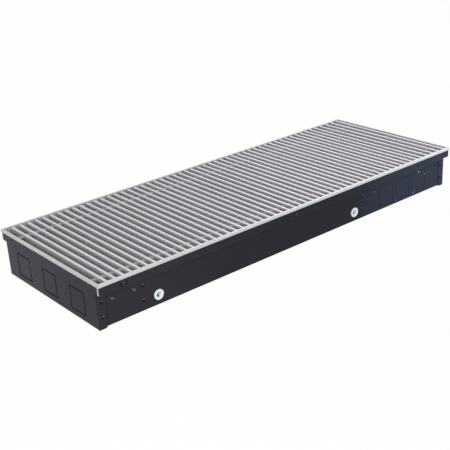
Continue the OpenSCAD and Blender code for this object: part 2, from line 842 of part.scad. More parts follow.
// Nylon plug snapped into the long wall, dished in front and slotted behind into four fingers
module side_plug() {
    flange_r = plug_flange_d / 2;
    barrel_r = plug_d / 2;
    recess_r = plug_recess_d / 2;
    wall = 1.5;
    web_t = 1.2;
    edge = 0.8;
    barb = 0.9;
    barb_z = -sheet_t - 0.1;
    web_z = plug_flange_t - plug_recess_h;
    cavity_r = barrel_r - wall;
    slot_top = min(barb_z, web_z - web_t);
    difference() {
        rotate_extrude() polygon([
            [0, web_z - web_t], [cavity_r, web_z - web_t], [cavity_r, -plug_depth],
            [barrel_r - edge, -plug_depth],
            [barrel_r + barb, barb_z - 2 * barb], [barrel_r + barb, barb_z - barb / 2],
            [barrel_r, barb_z], [barrel_r, 0], [flange_r, 0],
            [flange_r, plug_flange_t - edge], [flange_r - edge, plug_flange_t],
            [recess_r + edge, plug_flange_t], [recess_r, plug_flange_t - edge],
            [recess_r, web_z], [0, web_z]
        ]);
        for (turn = [0, 90]) rotate([0, 0, turn])
            translate([-flange_r, -plug_slot / 2, -plug_depth - over])
                cube([2 * flange_r, plug_slot, plug_depth + over + slot_top]);
    }
}

module side_plugs() color(nylon) {
    both_sides() for (x = plug_x) out_front(x, wall_y, fix_z_low) side_plug();
}

// Threaded insert with a countersunk mouth for an anchoring bracket's screw
module side_insert() {
    flange_t = 0.8;
    bulge_t = 2.5;
    bulge_d = insert_d + 2;
    mouth_d = insert_d - 2 * insert_wall + 2 * flange_t;
    mouth_h = (mouth_d - insert_core_d) / 2;
    difference() {
        union() {
            translate([0, 0, -insert_depth]) cylinder(d = insert_d, h = insert_depth);
            cylinder(d = insert_flange_d, h = flange_t);
            translate([0, 0, -sheet_t - bulge_t]) cylinder(d = bulge_d, h = bulge_t);
        }
        translate([0, 0, -insert_depth - over]) cylinder(d = insert_core_d, h = insert_depth + 2 * over);
        translate([0, 0, flange_t - mouth_h])
            cylinder(d1 = insert_core_d, d2 = mouth_d + 2 * over, h = mouth_h + over);
    }
}

module side_inserts() color(black) {
    both_sides() for (x = insert_x) out_front(x, wall_y, fix_z_high) side_insert();
}

module levelling_nuts() color(steel) {
    both_ends() both_sides() translate([level_x, level_y, floor_top]) difference() {
        hex(level_nut_af, level_nut_h);
        translate([0, 0, -over]) cylinder(d = level_d + 2 * thread_fit, h = level_nut_h + 2 * over);
    }
}

// Set screw that is turned from above and lifts the trough off the floor
module levelling_screw(sx, sy) color(steel) {
    rest_gap = 0.4;
    socket_af = 0.5 * level_d;
    socket_h = 5;
    r = level_d / 2;
    c = 0.8;
    translate([sx * level_x, sy * level_y, rest_gap]) difference() {
        rotate_extrude() polygon([
            [0, 0], [r - 2 * c, 0], [r, 2 * c], [r, level_l - c], [r - c, level_l], [0, level_l]
        ]);
        translate([0, 0, level_l - socket_h]) hex(socket_af, socket_h + over);
    }
}

module levelling_screw_front_left() levelling_screw(-1, -1);

module levelling_screw_front_right() levelling_screw(1, -1);

module levelling_screw_back_left() levelling_screw(-1, 1);

module levelling_screw_back_right() levelling_screw(1, 1);

trough();
end_plate_left();
end_plate_right();
end_plate_rivets();
rim_front();
rim_back();
rim_left();
rim_right();
rim_side_screws();
rim_end_screws();
damping_strip_front();
damping_strip_back();
grille_bars();
grille_rods();
grille_spacers();
grille_rod_nuts();
coil_fins();
coil_tubes();
return_bends_left();
return_bend_right();
coil_bracket_left();
coil_bracket_right();
bracket_rivets();
supply_connector();
return_connector();
connection_bracket();
connection_bracket_rivets();
air_vent_body();
air_vent_screw();
side_plugs();
side_inserts();
levelling_nuts();
levelling_screw_front_left();
levelling_screw_front_right();
levelling_screw_back_left();
levelling_screw_back_right();
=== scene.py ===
import math

import bmesh
import bpy
from mathutils import Matrix, Vector


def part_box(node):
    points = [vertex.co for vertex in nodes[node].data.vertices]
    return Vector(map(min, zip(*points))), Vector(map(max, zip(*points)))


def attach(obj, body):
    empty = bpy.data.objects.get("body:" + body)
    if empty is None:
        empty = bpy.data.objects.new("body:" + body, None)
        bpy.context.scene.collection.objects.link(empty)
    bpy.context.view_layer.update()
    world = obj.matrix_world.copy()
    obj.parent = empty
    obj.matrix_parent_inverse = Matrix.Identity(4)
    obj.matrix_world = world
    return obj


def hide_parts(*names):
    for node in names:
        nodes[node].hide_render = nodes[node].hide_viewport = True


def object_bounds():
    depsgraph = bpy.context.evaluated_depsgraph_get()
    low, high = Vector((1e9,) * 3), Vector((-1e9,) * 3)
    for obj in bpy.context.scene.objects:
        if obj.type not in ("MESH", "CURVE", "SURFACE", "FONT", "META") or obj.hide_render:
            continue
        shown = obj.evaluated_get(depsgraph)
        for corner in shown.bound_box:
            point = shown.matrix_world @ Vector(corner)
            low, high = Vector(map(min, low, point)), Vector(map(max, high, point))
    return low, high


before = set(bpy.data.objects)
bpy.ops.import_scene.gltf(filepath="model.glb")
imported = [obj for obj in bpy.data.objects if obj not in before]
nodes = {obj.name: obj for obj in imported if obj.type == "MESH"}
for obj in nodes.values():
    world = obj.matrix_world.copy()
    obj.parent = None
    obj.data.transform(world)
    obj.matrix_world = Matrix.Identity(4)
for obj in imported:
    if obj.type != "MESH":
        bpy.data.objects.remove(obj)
cad_box = [list(corner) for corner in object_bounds()]

# Trough: one folded tray of 1 mm steel sheet, stepped out near the top into the
# ledge and lip that hold the grille. It is powder coated satin black after
# folding. A few bare spots at the right knock-outs are chips in the coat that
# also stand in for glints of light there, a painted highlight.
HALF_L, HALF_W, HEIGHT = cad_box[1]
WALL_Y = HALF_W - 0.0155
LEFT, RIGHT, BACK = (-1, 0, 0), (1, 0, 0), (0, 1, 0)
BROKEN_EDGE = 0.0002

RIGHT_FLANGE_X = (HALF_L - 0.0296, HALF_L - 0.0276)
LEFT_FLANGE_SHADOW_X = -HALF_L + 0.0216
LEFT_FLANGE_SHADOW_W = 0.0028
LEFT_FLANGE_SHADOW_TOP = 0.072
SHADE_RINGED_SCREWS_X = [-HALF_L + share * 2 * HALF_L for share in (0.055, 0.49)]
LIP_SCREWS_Z = HEIGHT - 0.016
LIP_SHADE_R = 0.0062
LIP_SHADE_STRETCH = 0.65
END_SCREWS_Y = 0.145
END_SCREWS_Z = HEIGHT - 0.013
END_SHADE_R = 0.0058
SQUARES_PITCH = 0.100
SQUARES_Z = 0.038
SQUARE_HALF = 0.024
SLOT_SHADE = (0.0021, 0.0015)
SHADED_MIDDLE_FROM_X, SHADED_MIDDLE_TO_X = (-0.30, 0.12), (0.34, 0.16)
LIT_LEFT_X = (-0.15, -0.40)
BLUE_LIGHT_X = (0.16, 0.32)
END_LIGHT_Y = (-0.12, 0.22)
CHIP_GLINTS = (  # distance from the right end, height and radius
    (0.095, 0.058, 0.0021), (0.071, 0.046, 0.0018), (0.113, 0.010, 0.0018),
    (0.104, 0.010, 0.0012), (0.174, 0.010, 0.0014))

COAT_TONES = (0.015, 0.015, 0.021, 1), (0.020, 0.020, 0.027, 1)
SHADED_MIDDLE_COAT = (0.004, 0.006, 0.012, 1)
LIT_LEFT_COAT = (0.028, 0.027, 0.034, 1)
BLUE_LIGHT_COAT = (0.020, 0.027, 0.052, 1)
END_LIT_COATS = (0.013, 0.012, 0.022, 1), (0.036, 0.034, 0.050, 1)
HANDLED_COAT = (0.033, 0.033, 0.040, 1)
WORN_EDGE_AND_HIGHLIGHT = (0.075, 0.075, 0.085, 1)
PAINTED_SHADE_COAT = (0.002, 0.002, 0.003, 1)
PAINTED_LIGHT_FOLD = (0.14, 0.13, 0.16, 1)
BARE_SHEET_AND_GLINT = (0.62, 0.64, 0.68, 1)


class Shade:
    """A socket in a material. Operators add Math nodes, and add() adds any other node."""

    def __init__(self, tree, socket=None):
        self.tree = tree
        self.socket = socket

    def add(self, kind, settings=None, sockets=None, out=0):
        """A new node's output. Its settings come first, then its sockets' values or links."""
        node = self.tree.nodes.new(kind)
        for name, value in (settings or {}).items():
            setattr(node, name, value)
        for name, value in (sockets or {}).items():
            if isinstance(value, Shade):
                self.tree.links.new(value.socket, node.inputs[name])
            else:
                node.inputs[name].default_value = value
        return Shade(self.tree, node.outputs[out] if node.outputs else None)

    def math(self, operation, *values):
        return self.add("ShaderNodeMath", {"operation": operation}, dict(enumerate(values)))

    def __add__(self, other):
        return self.math("ADD", self, other)

    def __sub__(self, other):
        return self.math("SUBTRACT", self, other)

    def __rsub__(self, other):
        return self.math("SUBTRACT", other, self)

    def __mul__(self, other):
        return self.math("MULTIPLY", self, other)

    def __truediv__(self, other):
        return self.math("DIVIDE", self, other)

    def __rtruediv__(self, other):
        return self.math("DIVIDE", other, self)

    def __lt__(self, other):
        return self.math("LESS_THAN", self, other)

    def __gt__(self, other):
        return self.math("GREATER_THAN", self, other)

    def __or__(self, other):
        """The larger of two masks or distances."""
        return self.math("MAXIMUM", self, other)

    def __abs__(self):
        return self.math("ABSOLUTE", self)

    __radd__ = __add__
    __rmul__ = __mul__
    __ror__ = __or__

    def band(self, low, high):
        """0 below low, 1 above high and a smooth step between; turned round if low > high."""
        return self.add("ShaderNodeMapRange", {"interpolation_type": "SMOOTHSTEP"},
                        {"Value": self, "From Min": low, "From Max": high})

    def blend(self, first, second):
        """The first colour where this mask is 0, and the second where it is 1."""
        return self.add("ShaderNodeMix", {"data_type": "RGBA"}, {0: self, 6: first, 7: second}, out=2)


def finish(name):
    """A new material and a Shade that starts in its node tree."""
    material = bpy.data.materials.new(name)
    material.use_nodes = True
    material.node_tree.nodes.clear()
    return material, Shade(material.node_tree)


def place(shade):
    """The point on the piece in metres, in the shared frame, and its x, y and z."""
    point = shade.add("ShaderNodeTexCoord", out="Object")
    parts = point.add("ShaderNodeSeparateXYZ", sockets={"Vector": point}).socket.node
    return point, [Shade(shade.tree, socket) for socket in parts.outputs]


def grain(point, size, stretch=(1, 1, 1), detail=2.0):
    """Noise from 0 to 1 whose blotches are about size metres, longer where stretch is over 1."""
    scale = [1 / (size * s) for s in stretch]
    moved = point.add("ShaderNodeVectorMath", {"operation": "MULTIPLY"}, {0: point, 1: scale})
    return moved.add("ShaderNodeTexNoise", sockets={"Vector": moved, "Scale": 1.0, "Detail": detail})


def agreement(first, second):
    """How far two directions agree, from -1 to 1."""
    return first.add("ShaderNodeVectorMath", {"operation": "DOT_PRODUCT"},
                     {0: first, 1: second}, out="Value")


def facing(shade, axis):
    """How far the surface's own normal points along an axis, from -1 to 1."""
    return agreement(shade.add("ShaderNodeNewGeometry", out="Normal"), axis)


def edge_mask(shade, width):
    """1 on a sheet's sharp edges, within width metres of them, and 0 on its flats."""
    rounded = shade.add("ShaderNodeBevel", {"samples": 4}, {"Radius": width})
    flat = shade.add("ShaderNodeNewGeometry", out="Normal")
    return agreement(rounded, flat).band(0.999, 0.93)


def hollow_mask(shade, reach, low, high):
    """1 in creases and joints whose other side is within reach metres, and 0 in the open."""
    open_share = shade.add("ShaderNodeAmbientOcclusion", {"samples": 8}, {"Distance": reach}, out="AO")
    return open_share.band(high, low)


def near(u, v, radius):
    """1 within radius metres of the spot from which u and v are measured, and 0 further out."""
    return u.math("SQRT", u * u + v * v).band(radius, radius * 0.7)


def layered(colour, *layers):
    """Lays tones over a colour, one after another, each where its own mask says."""
    for mask, tone in layers:
        colour = mask.blend(colour, tone)
    return colour


def coat(material, shade, colour, roughness, height, depth, metallic=0.0, **fixed):
    """Ends a material in its Principled shader; height in 0 to 1 is raised by depth metres."""
    eased_edges = shade.add("ShaderNodeBevel", {"samples": 3}, {"Radius": BROKEN_EDGE})
    relief = shade.add("ShaderNodeBump", sockets={
        "Height": height, "Distance": depth, "Strength": 1.0, "Normal": eased_edges})
    sockets = {"Base Color": colour, "Roughness": roughness, "Metallic": metallic, "Normal": relief}
    for name, value in fixed.items():
        sockets[name.replace("_", " ")] = value
    surface = shade.add("ShaderNodeBsdfPrincipled", sockets=sockets)
    surface.add("ShaderNodeOutputMaterial", sockets={"Surface": surface})
    return material


def dress(material, *names):
    """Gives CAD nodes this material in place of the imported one."""
    for name in names:
        slots = nodes[name].data.materials
        slots.clear()
        slots.append(material)


def screw_shade_rings(x, y, z, long_side, end_side):
    """Painted shade: dark rings on the coat round the rim's screws, on the lips and on the end plates.
    """
    beside = x.math("MINIMUM", *[abs(x - screw_x) for screw_x in SHADE_RINGED_SCREWS_X])
    on_lips = near(beside * LIP_SHADE_STRETCH, z - LIP_SCREWS_Z, LIP_SHADE_R) * long_side
    on_ends = near(abs(y) - END_SCREWS_Y, z - END_SCREWS_Z, END_SHADE_R) * end_side
    return on_lips + on_ends


def slot_shade_lines(y, z):
    """Painted shade along the slots round the end plates' press-out squares and on the coat just
    beside them.
    """
    from_middle = abs(y.math("WRAP", y, SQUARES_PITCH / 2, -SQUARES_PITCH / 2))
    reach = from_middle | abs(z - SQUARES_Z)
    return abs(reach - SQUARE_HALF).band(*SLOT_SHADE)


def satin_black():
    """Powder coat with painted shade in creases, slots and round screws, painted light and shade
    across walls and ends, worn and highlighted edges, and chips and glints in spots.
    """
    material, shade = finish("satin_black_powder_coat")
    point, (x, y, z) = place(shade)
    long_side = abs(facing(shade, BACK)).band(0.5, 0.9)
    end_side = abs(facing(shade, RIGHT)).band(0.5, 0.9)
    outside = abs(y).band(WALL_Y - 0.0006, WALL_Y - 0.0003)
    front = outside * (y < 0.0)
    at_right_flange = x.band(*RIGHT_FLANGE_X)

    # Painted shade: the coat is darkened in creases and under the lip and rim, where shade falls.
    crease_shade = hollow_mask(shade, 0.005, 0.62, 0.93) * long_side * (1 - at_right_flange * 0.6)
    # Painted shadow: a narrow dark strip on the long walls just past the left end plate's flange.
    past_left_flange = x - LEFT_FLANGE_SHADOW_X
    flange_shadow_strip = past_left_flange.band(-0.0002, 0.0002) * past_left_flange.band(LEFT_FLANGE_SHADOW_W + 0.0004, LEFT_FLANGE_SHADOW_W - 0.0004)
    left_flange_shadow = flange_shadow_strip * outside * (z < LEFT_FLANGE_SHADOW_TOP)
    dark = screw_shade_rings(x, y, z, long_side, end_side) | slot_shade_lines(y, z) * end_side | left_flange_shadow * 0.35
    # Painted light: the left-facing edge of the right end plate's fold is lightened as if lit.
    lit_fold_face = facing(shade, LEFT).band(0.5, 0.9) * at_right_flange * outside

    edge = edge_mask(shade, 0.0005)
    # Wear on the sheet's edges, lightened as a painted edge highlight as well.
    worn = edge * grain(point, 0.006).band(0.35, 0.6)
    chips_and_glints = edge * grain(point, 0.013).band(0.66, 0.70)
    ragged = (grain(point, 0.0018) - 0.5) * 0.004
    # Chips in the coat, set at spots where they also serve as painted glints of light.
    for from_right, chip_z, radius in CHIP_GLINTS:
        chip_glint = near(x - (HALF_L - from_right) + ragged, z - chip_z + ragged * 0.6, radius)
        chips_and_glints = chips_and_glints | chip_glint * front

    cloud = grain(point, 0.11)
    peel = grain(point, 0.0011, detail=1.0)
    handled = grain(point, 0.035, stretch=(3, 1, 1), detail=4.0).band(0.56, 0.78)
    # Painted shade and light: the long walls are darker along the middle and lighter towards the left
    # end.
    shaded_middle = x.band(*SHADED_MIDDLE_FROM_X) * x.band(*SHADED_MIDDLE_TO_X) * outside
    lit_left = x.band(*LIT_LEFT_X) * outside
    # Painted light: the front wall's right stretch is tinted blue, as if lit by cool daylight.
    blue_light = x.band(*BLUE_LIGHT_X) * front
    # Painted light and shade: the end plates are darker at the front and lighter towards the back.
    lit_toward_back = y.band(*END_LIGHT_Y)
    colour = layered(cloud.blend(*COAT_TONES),
                     (shaded_middle * 0.65, SHADED_MIDDLE_COAT),
                     (lit_left * 0.6, LIT_LEFT_COAT),
                     (blue_light * 0.8, BLUE_LIGHT_COAT),
                     (end_side * 0.8, lit_toward_back.blend(*END_LIT_COATS)),
                     (handled * 0.35, HANDLED_COAT),
                     (worn * (1 - crease_shade) * 0.3, WORN_EDGE_AND_HIGHLIGHT),
                     (crease_shade * 0.8 | dark * 0.9, PAINTED_SHADE_COAT),
                     (lit_fold_face * 0.6, PAINTED_LIGHT_FOLD),
                     (chips_and_glints * 0.9, BARE_SHEET_AND_GLINT))
    roughness = 0.42 + cloud * 0.08 + handled * 0.10 - worn * 0.05 + crease_shade * 0.15 + dark * 0.2
    return coat(material, shade, colour, roughness, peel, 0.00003, Specular_IOR_Level=0.13)


black_coat = satin_black()
dress(black_coat, "trough")

# End plates: 1.2 mm sheet cut with press-out squares and folded round the
# trough's end, with ears behind the rim. They are coated together with it.
dress(black_coat, "end_plate_left", "end_plate_right")

# Blind rivets: black steel, pulled from outside through the end plates' flanges
# and the coil's brackets. Each head keeps the snapped end of its mandrel in a
# dimple, and the shank is upset behind the sheets.
SHEET = 0.001
PLATE = 0.0012
BRACKET_GRIP = 0.0028
RIVET_R = 0.002
RIVET_HEAD_R = 0.004
RIVET_HEAD_H = 0.0019
DOME_RADII = (0.001, 0.0015, 0.002, 0.0025, 0.003, 0.0034, 0.0037, 0.0039)
DIMPLE_R = 0.0008
MANDREL = [(0, 0.0012), (0.0005, 0.00125), (0.00065, 0.0011), (0.0007, 0.0009)]
UPSET = [(0.0029, 0.00005), (0.003, 0.0005), (0.0026, 0.0009), (0.0013, 0.0011), (0, 0.0011)]
LOW_ROW, HIGH_ROW = 0.023, 0.054
PLATE_RIVET_X = HALF_L - 0.0128
BRACKET_RIVETS_X = (-HALF_L + 0.1035, HALF_L - 0.292)
UP = (0, 0, 1)
SHARP_FROM = math.radians(35)

RIVET_BLACKS = (0.003, 0.003, 0.004, 1), (0.007, 0.007, 0.009, 1)
RIVET_DUST_AND_HIGHLIGHT = (0.13, 0.13, 0.14, 1)


def turned(mesh, rows, spot, aim, steps=32):
    """Adds a closed body to the mesh from rows of radius and height about the axis aim at spot.

    A radius may be a function of the angle. Rows of radius 0 close the body's ends, and rows
    that don't start at 0 make a ring that is joined to itself.
    """
    axis = Matrix.Translation(spot) @ Vector(aim).to_track_quat("Z", "Y").to_matrix().to_4x4()
    loops = []
    for radius, height in rows:
        if radius == 0:
            loops.append([mesh.verts.new(axis @ Vector((0, 0, height)))] * steps)
            continue
        loop = []
        for i in range(steps):
            angle = math.tau * i / steps
            r = radius(angle) if callable(radius) else radius
            corner = Vector((r * math.cos(angle), r * math.sin(angle), height))
            loop.append(mesh.verts.new(axis @ corner))
        loops.append(loop)
    if rows[0][0] != 0:
        loops.append(loops[0])
    for low, high in zip(loops, loops[1:]):
        for i in range(steps):
            j = (i + 1) % steps
            corners = list(dict.fromkeys((low[i], low[j], high[j], high[i])))
            mesh.faces.new(corners)


def piece(name, mesh, material, body, replaced=()):
    """Turns a finished bmesh into a piece of the heater that rides on a body."""
    bmesh.ops.recalc_face_normals(mesh, faces=mesh.faces)
    data = bpy.data.meshes.new(name)
    mesh.to_mesh(data)
    mesh.free()
    data.materials.append(material)
    data.shade_smooth()
    data.set_sharp_from_angle(angle=SHARP_FROM)
    made = bpy.data.objects.new(name, data)
    bpy.context.scene.collection.objects.link(made)
    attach(made, body)
    if replaced:
        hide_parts(*replaced)


def rivet(mesh, spot, aim, grip):
    """Blind rivet with its head's seat at spot, through sheets of this thickness."""
    ball = (RIVET_HEAD_R ** 2 + RIVET_HEAD_H ** 2) / (2 * RIVET_HEAD_H)
    dimple = [*MANDREL, (DIMPLE_R, 0.0009), (DIMPLE_R, 0.0017)]
    dome = [(r, RIVET_HEAD_H - ball + math.sqrt(ball ** 2 - r ** 2)) for r in DOME_RADII]
    seat = [(RIVET_HEAD_R, 0.0001), (RIVET_HEAD_R, 0), (RIVET_R, 0), (RIVET_R, -grip)]
    upset = [(radius, -grip - depth) for radius, depth in UPSET]
    turned(mesh, dimple + dome + seat + upset, spot, aim)


def gloss_black():
    """Gloss black rivet, lighter where it faces up: some dust and a painted highlight."""
    material, shade = finish("gloss_black_rivet")
    point, _ = place(shade)
    rubbed = grain(point, 0.0012, detail=3.0)
    # Dust and a painted highlight on the dome's upper side.
    lighter_facing_up = facing(shade, UP).band(0.3, 0.62) * (0.6 + rubbed * 0.6)
    colour = layered(rubbed.blend(*RIVET_BLACKS), (lighter_facing_up, RIVET_DUST_AND_HIGHLIGHT))
    roughness = 0.30 + rubbed * 0.10
    return coat(material, shade, colour, roughness, rubbed, 0.00002, Specular_IOR_Level=0.08)


rivet_black = gloss_black()
plate_rivets = bmesh.new()
bracket_rivets = bmesh.new()
for side in (-1, 1):
    aim = (0, side, 0)
    for z in (LOW_ROW, HIGH_ROW):
        for x in (-PLATE_RIVET_X, PLATE_RIVET_X):
            rivet(plate_rivets, (x, side * (WALL_Y + PLATE), z), aim, PLATE + SHEET)
        for x in BRACKET_RIVETS_X:
            rivet(bracket_rivets, (x, side * WALL_Y, z), aim, BRACKET_GRIP)
piece("blind_rivets_end_plates", plate_rivets, rivet_black, "heater",
      ["end_plate_rivets"])
piece("blind_rivets_coil_brackets", bracket_rivets, rivet_black, "heater",
      ["bracket_rivets"])

# Rim: four aluminium profiles, mitred at the corners and anodised in their
# natural silver. The die leaves fine lines along each profile, so the grain
# turns with the side, and the mitre shows as a hairline.
MITRE_LINE = (0.00035, 0.00015)
LONG_SILVERS = (0.62, 0.61, 0.625, 1), (0.66, 0.65, 0.665, 1)
LONG_LINES = (0.56, 0.55, 0.565, 1)
# Painted shade: the short profiles are tinted darker than the long ones, standing in for the weaker
# sheen of their die lines, which run across the light.
SHORT_SILVERS_SHADED = (0.50, 0.485, 0.50, 1), (0.54, 0.525, 0.54, 1)
SHORT_LINES_SHADED = (0.45, 0.435, 0.45, 1)
MITRE_GREY = (0.12, 0.12, 0.12, 1)


def anodised(name, along, silvers, line_tone):
    """Silver anodised extrusion with its die lines along that axis."""
    material, shade = finish(name)
    point, (x, y, z) = place(shade)
    stretch = [300 if axis == along else 1 for axis in "xyz"]
    lines = grain(point, 0.0006, stretch=stretch, detail=3.0)
    cloud = grain(point, 0.09)
    from_corner = abs((HALF_L - abs(x)) - (HALF_W - abs(y)))
    mitre = from_corner.band(*MITRE_LINE)
    colour = layered(cloud.blend(*silvers), (lines * 0.5, line_tone), (mitre * 0.6, MITRE_GREY))
    roughness = 0.42 + lines * 0.10 + cloud * 0.05
    return coat(material, shade, colour, roughness, lines, 0.00002, metallic=0.55)


dress(anodised("silver_rim_long", "x", LONG_SILVERS, LONG_LINES), "rim_front", "rim_back")
dress(anodised("silver_rim_short_shaded", "y", SHORT_SILVERS_SHADED, SHORT_LINES_SHADED), "rim_left", "rim_right")

# Rim screws: small cross-slotted screws through the lip and the end plates
# into the rim's web. They are blackened, with bare steel in the slots.
SCREW_BLACKS = (0.006, 0.006, 0.008, 1), (0.014, 0.014, 0.017, 1)
RUBBED_STEEL = (0.34, 0.34, 0.38, 1)


def blackened():
    """Blackened steel, rubbed bare on its edges and a little lighter where it faces up."""
    material, shade = finish("blackened_screw")
    point, _ = place(shade)
    rubbed = grain(point, 0.0014)
    worn = edge_mask(shade, 0.0004) * rubbed.band(0.3, 0.6)
    lighter_facing_up = facing(shade, UP).band(0.2, 0.5) * 0.3
    colour = layered(rubbed.blend(*SCREW_BLACKS), (worn * 0.75 | lighter_facing_up, RUBBED_STEEL))
    roughness = 0.34 + rubbed * 0.15
    return coat(material, shade, colour, roughness, rubbed, 0.00004, Specular_IOR_Level=0.12)


dress(blackened(), "rim_side_screws", "rim_end_screws")

# Damping strips: black cellular rubber, glued on the ledges, on which the
# ends of the grille's bars rest without rattling.
RUBBER_TONES = (0.012, 0.012, 0.012, 1), (0.035, 0.034, 0.032, 1)


def cellular_rubber():
    """Cellular rubber with dust caught in its cells."""
    material, shade = finish("cellular_rubber")
    point, _ = place(shade)
    cells = shade.add("ShaderNodeTexVoronoi", sockets={"Vector": point, "Scale": 900.0})
    dust = grain(point, 0.02, detail=5.0)
    roughness = 0.82 + dust * 0.1
    return coat(material, shade, dust.blend(*RUBBER_TONES), roughness, cells, 0.0002,
                Specular_IOR_Level=0.3)


dress(cellular_rubber(), "damping_strip_front", "damping_strip_back")

# Coil: thin aluminium fins with drawn collars on four copper tubes, joined by
# brazed return bends. It hangs between two galvanised sheet brackets that are
# riveted to the long walls.
FINS_LOW, FINS_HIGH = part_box("coil_fins")
TUBE_R = 0.0075
TUBE_Z = (FINS_LOW[2] + FINS_HIGH[2]) / 2
TUBE_PITCH = 0.050
TUBES_Y = [(FINS_LOW[1] + FINS_HIGH[1]) / 2 + (i - 1.5) * TUBE_PITCH for i in range(4)]
BELL_R = 0.0084
LEFT_BELLS_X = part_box("return_bends_left")[1][0]
RIGHT_BELLS_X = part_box("return_bend_right")[0][0]

FIN_RIPPLE = 900.0  # radians per metre of height
FIN_TONES = (0.66, 0.67, 0.68, 1), (0.80, 0.81, 0.82, 1)
COPPER_TONES = (0.76, 0.40, 0.24, 1), (0.42, 0.20, 0.12, 1)
ZINC_TONES = (0.46, 0.47, 0.49, 1), (0.68, 0.69, 0.70, 1)


def fin_sheet():
    """Rippled aluminium fin stock with faint stains."""
    material, shade = finish("fin_sheet")
    point, (x, y, z) = place(shade)
    ripple = shade.math("SINE", z * FIN_RIPPLE) * 0.5 + 0.5
    stain = grain(point, 0.03, detail=4.0)
    height = ripple * 0.7 + grain(point, 0.002) * 0.3
    roughness = 0.30 + stain * 0.15
    return coat(material, shade, stain.blend(*FIN_TONES), roughness, height, 0.0001, metallic=1.0)


def drawn_copper():
    """Drawn copper tube, tarnished in patches."""
    material, shade = finish("drawn_copper")
    point, _ = place(shade)
    tarnish = grain(point, 0.025, detail=5.0)
    lines = grain(point, 0.0008, stretch=(80, 1, 1))
    colour = tarnish.band(0.35, 0.7).blend(*COPPER_TONES)
    return coat(material, shade, colour, 0.28 + tarnish * 0.2, lines, 0.00003, metallic=1.0)


def zinc_plate():
    """Zinc with a fine spangle, dulled in patches."""
    material, shade = finish("zinc_plate")
    point, _ = place(shade)
    spangle = shade.add("ShaderNodeTexVoronoi", {"feature": "F1"},
                        {"Vector": point, "Scale": 160.0}, out="Color")
    tone = shade.add("ShaderNodeRGBToBW", sockets={0: spangle})
    dull = grain(point, 0.03, detail=4.0)
    colour = (tone * 0.6 + dull * 0.4).blend(*ZINC_TONES)
    roughness = 0.36 + tone * 0.12 + dull * 0.08
    return coat(material, shade, colour, roughness, dull, 0.0001, metallic=1.0)


def braze(mesh, bell_x, y, aim):
    """Fillet of braze metal where a bell's mouth ends on its tube, thickest at the mouth."""
    tube = TUBE_R + 0.00002

    def lumpy(radius, swell):
        waves = (3, 40 * y, 1.0), (7, 0, 0.5)
        return lambda angle: radius + swell * (
            1 + sum(share * math.sin(count * angle + phase) for count, phase, share in waves))

    rows = [(tube, -0.0004),
            (lumpy(BELL_R - 0.0003, 0.00008), -0.0004),
            (lumpy(BELL_R, 0.0001), 0.0003),
            (lumpy(BELL_R - 0.0004, 0.00006), 0.0009),
            (lumpy(tube + 0.0001, 0.00004), 0.0016),
            (tube, 0.0019)]
    turned(mesh, rows, (bell_x, y, TUBE_Z), aim)


copper = drawn_copper()
zinc = zinc_plate()
dress(fin_sheet(), "coil_fins")
dress(copper, "coil_tubes", "return_bends_left", "return_bend_right")
dress(zinc, "coil_bracket_left", "coil_bracket_right")
braze_metal = bmesh.new()
for y in TUBES_Y:
    braze(braze_metal, LEFT_BELLS_X, y, RIGHT)
for y in TUBES_Y[1:3]:
    braze(braze_metal, RIGHT_BELLS_X, y, LEFT)
piece("brazed_joints", braze_metal, copper, "heater")

# Connections: two connectors turned from hexagon brass, brazed on the outer
# tubes and held by a riveted sheet angle, with an air vent screwed into the
# supply side.
SOCKET_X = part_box("supply_connector")[0][0]
PORT_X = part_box("supply_connector")[1][0]
SOCKET_R = 0.010
SOCKET_DEPTH = 0.012
WAY_R = 0.0065
PORT_R = 0.0093
PORT_DEPTH = 0.015
PORT_THREAD, PORT_PITCH = 0.0011, 0.0018
THREAD_ROWS = 6  # per turn
THREAD_FLANK, THREAD_CREST = 2.6, 0.15
HEXAGON_L = 0.026
HEXAGON_FLATS = 0.027
HEXAGON_FALL = 0.6
HEXAGON_RISES = (0, 0.0006, 0.0012, 0.0018, 0.0023)
ANGLE_SHEET = 0.0015
ANGLE_FOOT_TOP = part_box("connection_bracket")[0][2] + ANGLE_SHEET
ANGLE_RIVETS_X = PORT_X - 0.016
ANGLE_RIVETS_Y = (-0.010, 0.070)

LATHE_LINES = 12000.0  # radians per metre of length
BRASS_TONES = (0.72, 0.52, 0.22, 1), (0.84, 0.66, 0.34, 1)
BRIGHT_BRASS = (0.92, 0.80, 0.50, 1)


def turned_brass():
    """Brass with the lathe's fine lines, a patina and bright edges."""
    material, shade = finish("turned_brass")
    point, (x, y, z) = place(shade)
    lines = shade.math("SINE", x * LATHE_LINES) * 0.5 + 0.5
    patina = grain(point, 0.012, detail=4.0)
    worn = edge_mask(shade, 0.0005)
    colour = layered(patina.blend(*BRASS_TONES), (worn * 0.5, BRIGHT_BRASS))
    return coat(material, shade, colour, 0.24 + patina * 0.14, lines, 0.00001, metallic=1.0)


def hexagon(flats, limit):
    """Radius of a hexagon of this width across its flats, turned down to the radius limit."""
    sixth = math.tau / 6
    return lambda angle: min(limit, flats / 2 / math.cos(angle % sixth - sixth / 2))


def chamfered(flats, height, fall, rises):
    """Rows at a hexagon's end, whose corners are turned off by fall metres per metre of rise."""
    return [(hexagon(flats, flats / 2 + rise), height - fall * rise) for rise in rises]


def thread(crest, depth, pitch, start, end):
    """Rows of a helical thread from start to end; depth is negative inside a nut."""
    def ridge(height):
        def radius(angle):
            turn_share = (height / pitch - angle / math.tau) % 1
            fall = THREAD_FLANK * abs(turn_share - 0.5) - THREAD_CREST
            return crest - depth * max(0.0, min(1.0, fall))
        return radius

    count = max(1, round(abs(end - start) / pitch * THREAD_ROWS))
    heights = [start + (end - start) * i / count for i in range(count + 1)]
    return [(ridge(height), height) for height in heights]


